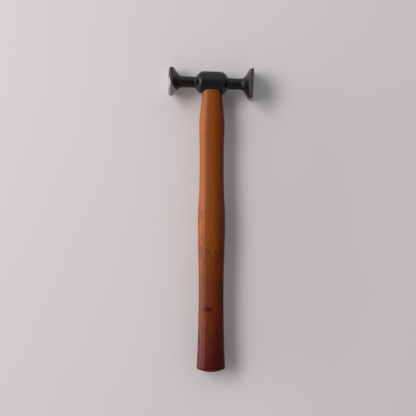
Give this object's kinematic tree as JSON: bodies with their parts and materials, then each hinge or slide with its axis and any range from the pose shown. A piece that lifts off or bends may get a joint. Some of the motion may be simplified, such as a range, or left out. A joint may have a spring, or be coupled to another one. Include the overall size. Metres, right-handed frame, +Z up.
{
  "type": "planishing hammer",
  "caption": "Double-faced planishing hammer: a blackened forged head with a round and a square bell face on thin necks, on a long double-swell lacquered wooden handle.",
  "frame": {"origin": "under the middle of the hammer's bounding box, on the surface that it lies on", "axes": "+X along the head from the round face to the square face, +Y from the handle's butt to the head, +Z up, square to the plane of head and handle; the handle runs 2.15 degrees off Y, its butt towards +X"},
  "size_m": [0.0848, 0.3032, 0.0294],
  "materials": {
    "black_forged_steel": "satin",
    "lacquered_wood": "gloss",
    "wedge_wood": "matte",
    "wedge_steel": "satin"
  },
  "bodies": {
    "root": {"head": "black_forged_steel", "handle": "lacquered_wood", "wooden_wedge": "wedge_wood", "steel_wedge_left": "wedge_steel", "steel_wedge_right": "wedge_steel"}
  },
  "joints": []
}
